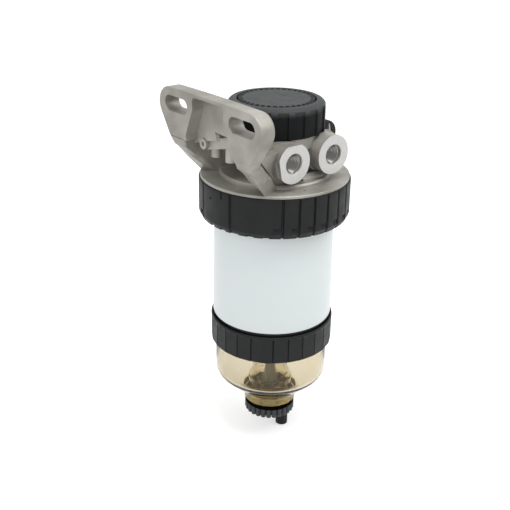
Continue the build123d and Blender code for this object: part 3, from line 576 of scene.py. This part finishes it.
def makeKnob():
    rim, top, low = knob["radius"], knob["top"], knob["bottom"]
    grooveOut, floor, edge = knob["grooveOut"], knob["grooveFloor"], knob["grooveEdge"]
    points = knob["screwSeat"] + [(cap["radius"], knob["screwSeat"][-1][1])]
    points += [(cap["radius"], floor), (grooveOut, floor)]
    points += [(grooveOut, top - edge), (grooveOut + edge, top)]
    points += shoulderArc(rim, top, knob["shoulder"], knob["shoulderParts"])
    points += [(rim, height) for height in knob["rows"]]
    points += [(rim, low + knob["bottomEdge"]), (rim - knob["bottomEdge"], low)]
    points += [(knob["wallInner"], low), (knob["wallInner"], knob["ceiling"])] + knob["hub"]
    bm = turnPiece(points, knob["steps"])
    for vert in bm.verts:
        proud = reachOf(vert.co) - (rim - knob["fluteDepth"])
        if proud > 0 and vert.co.z < knob["fluteTop"] * mm:
            away = offMiddle(turnsAway(vert.co, knob["phase"]), 360 / knob["flutes"])
            if abs(away) < knob["fluteHalf"]:
                press(vert, proud)
    finishPiece(bm, "knobShell", "knob", "knob", ["primer_knob"], knob["crease"])


cap = {
    "radius": 24.9,
    "foot": 2.45,
    "gap": 0.05,
    "edge": 0.2,
    "recess": (0.02, 0.02, 0.1),     # side gap, foot and top above the groove's floor
    "steps": 180,
    "teeth": 38,
    "toothWidth": 1.35,
    "toothIn": 24.2,
    "toothOut": 28.0,
    "toothGaps": (0.02, 0.05),       # under the knob's top, and in all
    "toothEdge": 0.15,
}


def makeCap():
    rim, top, foot = cap["radius"] - cap["gap"], knob["top"], cap["foot"]
    points = [(0, foot), (rim, foot), (rim, top - cap["edge"]), (rim - cap["edge"], top), (0, top)]
    bm = turnPiece(points, cap["steps"], closed=False)
    finishPiece(bm, "capDisc", "cap", "knob", ["knob_cap"])

    # painted shade: a near-black ring on the groove's floor
    gap, *heights = cap["recess"]
    low, high = [knob["grooveFloor"] + height for height in heights]
    inner, outer = cap["radius"] + gap, knob["grooveOut"] - gap
    bm = turnPiece([(inner, low), (outer, low), (outer, high), (inner, high)], cap["steps"])
    finishPiece(bm, "capGrooveShade", "recess", "knob")

    bm = bmesh.new()
    bmesh.ops.create_cube(bm, size=1)
    under, less = cap["toothGaps"]
    size = [cap["toothOut"] - cap["toothIn"], cap["toothWidth"], top - knob["grooveFloor"] - less]
    bmesh.ops.scale(bm, verts=bm.verts, vec=[side * mm for side in size])
    middle = (cap["toothOut"] + cap["toothIn"]) / 2
    bmesh.ops.translate(bm, verts=bm.verts, vec=(middle * mm, 0, (top - under - size[2] / 2) * mm))
    bevelEdges(bm, bm.edges[:], cap["toothEdge"], 2)
    repeatRound(bm, cap["teeth"])
    finishPiece(bm, "capTeeth", "cap", "knob")


makeKnob()
makeCap()
print("knob made")

can = {
    "inner": 44.95,
    "radius": 45.85,
    "footRadius": 46.7,
    "footTop": -164.8,
    "footCurl": [(0.3, 0.1), (0.7, 0.5)],    # out from the wall, above the seam
    "seam": -166.0,
    "bottom": -172.0,
    "shoulder": -84.3,
    "flange": (50.15, -79.7, -77.9),
    "steps": 240,
}


def makeCan():
    inner, rim, seam = can["inner"], can["radius"], can["seam"]
    flange, flangeFoot, flangeTop = can["flange"]
    points = [(inner, can["bottom"]), (rim, can["bottom"]), (rim, seam)]
    points += [(rim + out, seam + rise) for out, rise in can["footCurl"]]
    points += [(can["footRadius"], can["footTop"]), (rim, can["shoulder"]), (rim, flangeFoot)]
    points += [(flange, flangeFoot), (flange, flangeTop), (inner, flangeTop)]
    bm = turnPiece(points, can["steps"])
    finishPiece(bm, "canShell", "can", "head", ["canister"])


makeCan()
print("can made")

collar = {
    "radius": 57.1,
    "inner": 53.3,
    "top": -54.3,
    "bottom": -84.3,
    "topEdge": [(0.7, 0), (0.2, 0.2), (0, 0.7)],     # in from the rim, below the top
    "rows": (-57, -59.4, -59.7, -61.2, -61.4, -62.7, -62.9, -66, -70, -74, -75.9, -76.3, -79.8),
    "taper": [(0, -80.3), (1.1, -82.2), (1.3, -82.4), (1.7, -83.9), (2.1, -84.3)],
    "footStep": 50,
    "lipInner": 46.35,
    "lipTop": -80.0,
    "steps": 480,
    "phase": -34.0,
    "pitch": 12.0,
    "grooves": 25,
    "depth": 1.3,
    "shell": 3,              # only points this near the rim are pressed
    "pocketColumns": 7.5,
    "pocketHeights": (-80.1, -78, -76),
    "pocketDepths": (0.3, 1.5),
    "notch": (2.6, -82.3, 1.2),      # columns, top, depth
    "wide": (-73.0, 1.6),            # angle, columns
    "dot": (-93.9, -62.8, -61.3),    # angle, foot, top
    "bar": (-82.2, -59.5, -54.0),
    "markDepth": 1.0,
    "crease": 40.0,
    "lug": [(51.0, -64.0), (53.6, -64.0), (53.6, -60.5), (51.0, -60.5)],
    "lugSpan": 36,
    "lugSteps": 18,
    "lugs": 4,
}


def collarDepth(point, column):
    height = point.z / mm
    half = collar["pitch"] / 2
    along = (angleOf(point) - collar["phase"]) % 360
    away = offMiddle(along, collar["pitch"])
    grooved = along < collar["pitch"] * (collar["grooves"] - 1) + half or along > 360 - half
    if grooved and abs(away) < column:
        return collar["depth"]
    foot, middle, top = collar["pocketHeights"]
    lower, upper = collar["pocketDepths"]
    if grooved and -collar["pocketColumns"] * column < away < 0 and foot < height < top:
        return upper if height > middle else lower
    columns, notchTop, notchDepth = collar["notch"]
    if not grooved and abs(away) < columns * column and height < notchTop:
        return notchDepth
    angle, columns = collar["wide"]
    if abs(turnsAway(point, angle)) < columns * column:
        return collar["depth"]
    for angle, foot, top in (collar["dot"], collar["bar"]):
        if abs(turnsAway(point, angle)) < column and foot < height < top:
            return collar["markDepth"]
    return 0


def makeCollar():
    rim, top, low = collar["radius"], collar["top"], collar["bottom"]
    points = [(collar["inner"], top)]
    points += [(rim - into, top - drop) for into, drop in collar["topEdge"]]
    points += [(rim, height) for height in collar["rows"]]
    points += [(rim - into, height) for into, height in collar["taper"]]
    points += [(collar["footStep"], low), (collar["lipInner"], low)]
    points += [(collar["lipInner"], collar["lipTop"]), (collar["inner"], collar["lipTop"])]
    bm = turnPiece(points, collar["steps"])
    column = 360 / collar["steps"]
    turnMesh(bm, collar["phase"] + column / 2)
    for vert in bm.verts:
        if reachOf(vert.co) >= rim - collar["shell"]:
            press(vert, collarDepth(vert.co, column))
    finishPiece(
        bm, "collarRing", "black", "collar", ["locking_collar"], collar["crease"]
    )

    bm = bmesh.new()
    section = bm.faces.new(placeOutline(bm, collar["lug"]))
    bmesh.ops.spin(
        bm, geom=[section], cent=(0, 0, 0), axis=(0, 0, 1),
        angle=math.radians(collar["lugSpan"]), steps=collar["lugSteps"],
    )
    turnMesh(bm, -collar["lugSpan"] / 2)
    bmesh.ops.recalc_face_normals(bm, faces=bm.faces)
    repeatRound(bm, collar["lugs"])
    finishPiece(bm, "collarLugs", "black", "collar")


makeCollar()
print("locking collar made")

bowlRing = {
    "radius": 48.3,
    "inner": 46.3,
    "top": -168.3,
    "mouth": [(46.3, 0.8), (47.0, 0.1), (47.4, 0)],  # radius, below the top
    "topEdge": [(0.4, 0.2), (0.1, 0.6), (0, 1.2)],   # in from the rim, below the top
    "rows": (-170.2, -170.6, -172, -177, -182, -187),
    "bottom": -190.5,
    "bottomEdge": 0.3,
    "lipInner": 44.3,
    "lipTop": -187.6,
    "steps": 509,
    "phase": -38.2,
    "columns": 20,           # steps from one groove to the next
    "grooves": 25,
    "depth": 0.75,
    "grooveTop": -170.4,
    "grooveHalf": 0.4,       # in steps
    "shell": 1.2,
    "crease": 40.0,
}


def makeBowlRing():
    rim, top, low = bowlRing["radius"], bowlRing["top"], bowlRing["bottom"]
    edge = bowlRing["bottomEdge"]
    points = [(radius, top - drop) for radius, drop in bowlRing["mouth"]]
    points += [(rim - into, top - drop) for into, drop in bowlRing["topEdge"]]
    points += [(rim, height) for height in bowlRing["rows"]]
    points += [(rim, low + edge), (rim - edge, low), (bowlRing["lipInner"], low)]
    points += [(bowlRing["lipInner"], bowlRing["lipTop"]), (bowlRing["inner"], bowlRing["lipTop"])]
    bm = turnPiece(points, bowlRing["steps"])
    column = 360 / bowlRing["steps"]
    turnMesh(bm, bowlRing["phase"])
    pitch = bowlRing["columns"] * column
    nearest = math.cos(math.radians(pitch / 2))
    for vert in bm.verts:
        along = (angleOf(vert.co) - bowlRing["phase"] + 1) % 360 - 1    # from -1 to 359
        outside = reachOf(vert.co) > rim - bowlRing["shell"]
        ribbed = vert.co.z < bowlRing["grooveTop"] * mm
        if outside and ribbed and along <= pitch * (bowlRing["grooves"] - 0.5):
            away = abs(offMiddle(along, pitch))
            if away < bowlRing["grooveHalf"] * column:
                press(vert, bowlRing["depth"])
            else:
                press(vert, rim * (1 - nearest / math.cos(math.radians(pitch / 2 - away))))
    finishPiece(
        bm, "bowlRing", "black", "bowl_ring", ["bowl_collar"], bowlRing["crease"]
    )


makeBowlRing()
print("bowl collar made")

bowl = {
    "flange": (46.0, -183.8, -187.3),
    "radius": 44.0,
    "belly": (44.8, -190.9, -192.4, -194.4),     # radius, heights of its start, ease and full
    "bellyEase": 0.2,
    "inner": 41.5,
    "shoulder": -220.2,
    "corner": 11.0,
    "innerShoulder": -219.11,
    "innerCorner": 8.5,
    "neckTop": (22.0, -240.6),
    "neckCorner": 8.0,
    "neckFoot": (21.2, -247.4),
    "pocket": (12.0, 18.5, -241.0),              # inner and outer radius, ceiling
    "boss": (8.0, 12.0, -234.5),
    "floor": (21.67, -237.5),
    "steps": 160,
    "ribs": 8,
    "ribSteps": 6,
    "phase": -18.0,
    "bendParts": 8,
}


def bend(before, corner, after, radius):
    corner = Vector(corner)
    ahead = (Vector(after) - corner).normalized()
    back = (Vector(before) - corner).normalized()
    half = ahead.angle(back) / 2
    middle = corner + (ahead + back).normalized() * radius / math.sin(half)
    first = corner + back * radius / math.tan(half) - middle
    sweep = math.pi - 2 * half
    side = 1 if first.cross(ahead) > 0 else -1
    arc = []
    for number in range(bowl["bendParts"] + 1):
        turn = Matrix.Rotation(side * sweep * number / bowl["bendParts"], 2)
        arc.append(tuple(middle + turn @ first))
    return arc


def bowlOutline():
    rim, inner, floor = bowl["radius"], bowl["inner"], bowl["floor"]
    neckTop, neckFoot = bowl["neckTop"], bowl["neckFoot"]
    flange, flangeTop, flangeFoot = bowl["flange"]
    belly, bellyTop, bellyEased, bellyFull = bowl["belly"]
    shoulder = (belly, bowl["shoulder"])
    points = [(inner, flangeTop), (flange, flangeTop), (flange, flangeFoot), (rim, flangeFoot)]
    points += [(rim, bellyTop), (belly - bowl["bellyEase"], bellyEased), (belly, bellyFull)]
    points += bend((belly, bellyFull), shoulder, neckTop, bowl["corner"])
    points += bend(shoulder, neckTop, neckFoot, bowl["neckCorner"])
    bossIn, bossOut, bossTop = bowl["boss"]
    pocketIn, pocketOut = bowl["pocket"][:2]
    points += [(reach, neckFoot[1]) for reach in (neckFoot[0], pocketOut, pocketIn, bossIn)]
    points += [(bossIn, bossTop), (bossOut, bossTop), (bossOut, floor[1]), floor]
    points += bend(floor, (inner, bowl["innerShoulder"]), (inner, flangeTop), bowl["innerCorner"])
    return points


def makeBowl():
    bm = turnPiece(bowlOutline(), bowl["steps"])
    column = 360 / bowl["steps"]
    turn = bowl["phase"] - bowl["ribSteps"] * column / 2
    turnMesh(bm, turn)
    pocketIn, pocketOut, ceiling = bowl["pocket"]
    across = bowl["steps"] // bowl["ribs"]
    hollow = []
    for face in bm.faces:
        middle = face.calc_center_median()
        if facesDown(face) and pocketIn < reachOf(middle) < pocketOut:
            if (angleOf(middle) - turn) % 360 / column % across > bowl["ribSteps"]:
                hollow.append(face)
    raised = bmesh.ops.extrude_face_region(bm, geom=hollow)
    tops = [item for item in raised["geom"] if isinstance(item, bmesh.types.BMVert)]
    bmesh.ops.translate(bm, verts=tops, vec=(0, 0, (ceiling - bowl["neckFoot"][1]) * mm))
    bmesh.ops.recalc_face_normals(bm, faces=bm.faces)
    finishPiece(bm, "bowlShell", "bowl", "bowl", ["water_bowl"])


makeBowl()
print("bowl made")

ventKnob = {
    "middle": (107.3, -28.6),        # y and z of its axis
    "radius": 9.9,
    "edge": (0.8, 0.6),
    "seat": -1.35,
    "length": 9.0,
    "dish": (5.2, 4.8, 0.5),         # outer and inner radius, depth
    "shank": (4.0, -16.0),
    "studs": 64,
    "studRows": 9,
    "studHeight": 0.25,
    "crease": 20.0,
}


def makeVentKnob():
    rim, seat, length = ventKnob["radius"], ventKnob["seat"], ventKnob["length"]
    shank, shankEnd = ventKnob["shank"]
    edgeIn, edgeUp = ventKnob["edge"]
    dishOut, dishIn, dishDepth = ventKnob["dish"]
    side, rows = rim - ventKnob["studHeight"], ventKnob["studRows"]
    rise = (length - 2 * edgeUp) / rows
    points = [(0, shankEnd), (shank, shankEnd), (shank, seat), (rim - edgeIn, seat)]
    points += [(side, seat + edgeUp + rise * row) for row in range(rows + 1)]
    points += [(rim - edgeIn, seat + length), (dishOut, seat + length)]
    points += [(dishIn, seat + length - dishDepth), (0, seat + length - dishDepth)]
    bm = turnPiece(points, ventKnob["studs"], closed=False)
    studded = []
    for face in bm.faces:
        reach = reachOf(face.calc_center_median())
        if standsUpright(face) and reach > rim - 2 * ventKnob["studHeight"]:
            studded.append(face)
    bmesh.ops.poke(bm, faces=studded, offset=ventKnob["studHeight"] * mm, center_mode="MEAN")
    turnMesh(bm, 90, "Y")
    place = (0, *ventKnob["middle"])
    finishPiece(
        bm, "ventKnob", "black", "vent", ["vent_screw"], ventKnob["crease"], place
    )


makeVentKnob()
print("vent screw made")

portThread = {
    "places": [(43.8, -31.9), (81.2, -31.9)],    # y and z of each port's axis
    "mouth": 42.0,
    "depth": 27.8,
    "pitch": 1.5,
    "steps": 48,                                 # in a turn
    "section": [
        (7.0, -0.75), (6.94, -0.72), (6.25, -0.08), (6.25, 0.08), (6.94, 0.72), (7.0, 0.75),
    ],
}


def makeThreads():
    depth, pitch = portThread["depth"], portThread["pitch"]
    turns = int((portThread["mouth"] - depth - pitch) / pitch)
    for number, axis in enumerate(portThread["places"]):
        bm = bmesh.new()
        verts = placeOutline(bm, portThread["section"])
        edges = [bm.edges.new(pair) for pair in zip(verts, verts[1:] + verts[:1])]
        bmesh.ops.spin(
            bm, geom=verts + edges, cent=(0, 0, 0), axis=(0, 0, 1), angle=turns * 2 * math.pi,
            dvec=(0, 0, pitch * mm / portThread["steps"]), steps=turns * portThread["steps"],
        )
        bmesh.ops.holes_fill(bm, edges=bm.edges, sides=len(verts))
        bmesh.ops.recalc_face_normals(bm, faces=bm.faces)
        turnMesh(bm, 90, "Y")
        place = (depth + pitch / 2, *axis)
        finishPiece(bm, "portThread%d" % number, "bored", "head", place=place)


makeThreads()
print("port threads made")

drain = {
    "rim": 18.4,
    "inner": 15.4,
    "edge": 0.3,
    "top": -251.8,
    "body": -258.1,
    "plate": (-253.0, -255.5),
    "tail": 3.55,
    "hub": 5.25,
    "steps": 104,
    "band": (20.4, -247.7, -251.9),
    "lobe": 2.1,
    "lobeTop": -251.5,
    "lobeFoot": -259.8,
    "lobeEdge": 0.8,
    "lobeSides": 16,
    "lobes": 26,
}


def makeDrainKnob():
    rim, inner, edge = drain["rim"], drain["inner"], drain["edge"]
    top, body, tail, hub = drain["top"], drain["body"], drain["tail"], drain["hub"]
    plateTop, plateFoot = drain["plate"]
    points = [(tail, plateTop), (inner, plateTop), (inner, top - edge), (inner + edge, top)]
    points += [(rim - edge, top), (rim, top - edge), (rim, body + edge), (rim - edge, body)]
    points += [(inner, body), (inner, plateFoot), (hub, plateFoot), (hub, body), (tail, body)]
    bm = turnPiece(points, drain["steps"])
    finishPiece(bm, "drainCup", "drain", "drain_grip", ["drain_knob"])

    # painted shade: a near-black band on the drain knob's top, under the bowl's neck
    band, bandTop, bandFoot = drain["band"]
    points = [(inner, bandFoot), (inner, bandTop), (band - edge, bandTop)]
    points += [(band, bandTop - edge), (band, bandFoot)]
    bm = turnPiece(points, drain["steps"])
    finishPiece(bm, "drainTopShade", "recess", "drain_grip")

    bm = bmesh.new()
    high, low, radius = drain["lobeTop"], drain["lobeFoot"], drain["lobe"] * mm
    bmesh.ops.create_cone(
        bm, cap_ends=True, segments=drain["lobeSides"], radius1=radius, radius2=radius,
        depth=(high - low) * mm,
    )
    level = mm / 100
    ends = [item for item in bm.edges if abs(item.verts[0].co.z - item.verts[1].co.z) < level]
    bevelEdges(bm, ends, drain["lobeEdge"], 4)
    bmesh.ops.translate(bm, verts=bm.verts, vec=(rim * mm, 0, (high + low) / 2 * mm))
    repeatRound(bm, drain["lobes"])
    finishPiece(bm, "drainLobes", "drain", "drain_grip", crease=50.0)


makeDrainKnob()
print("drain knob made")
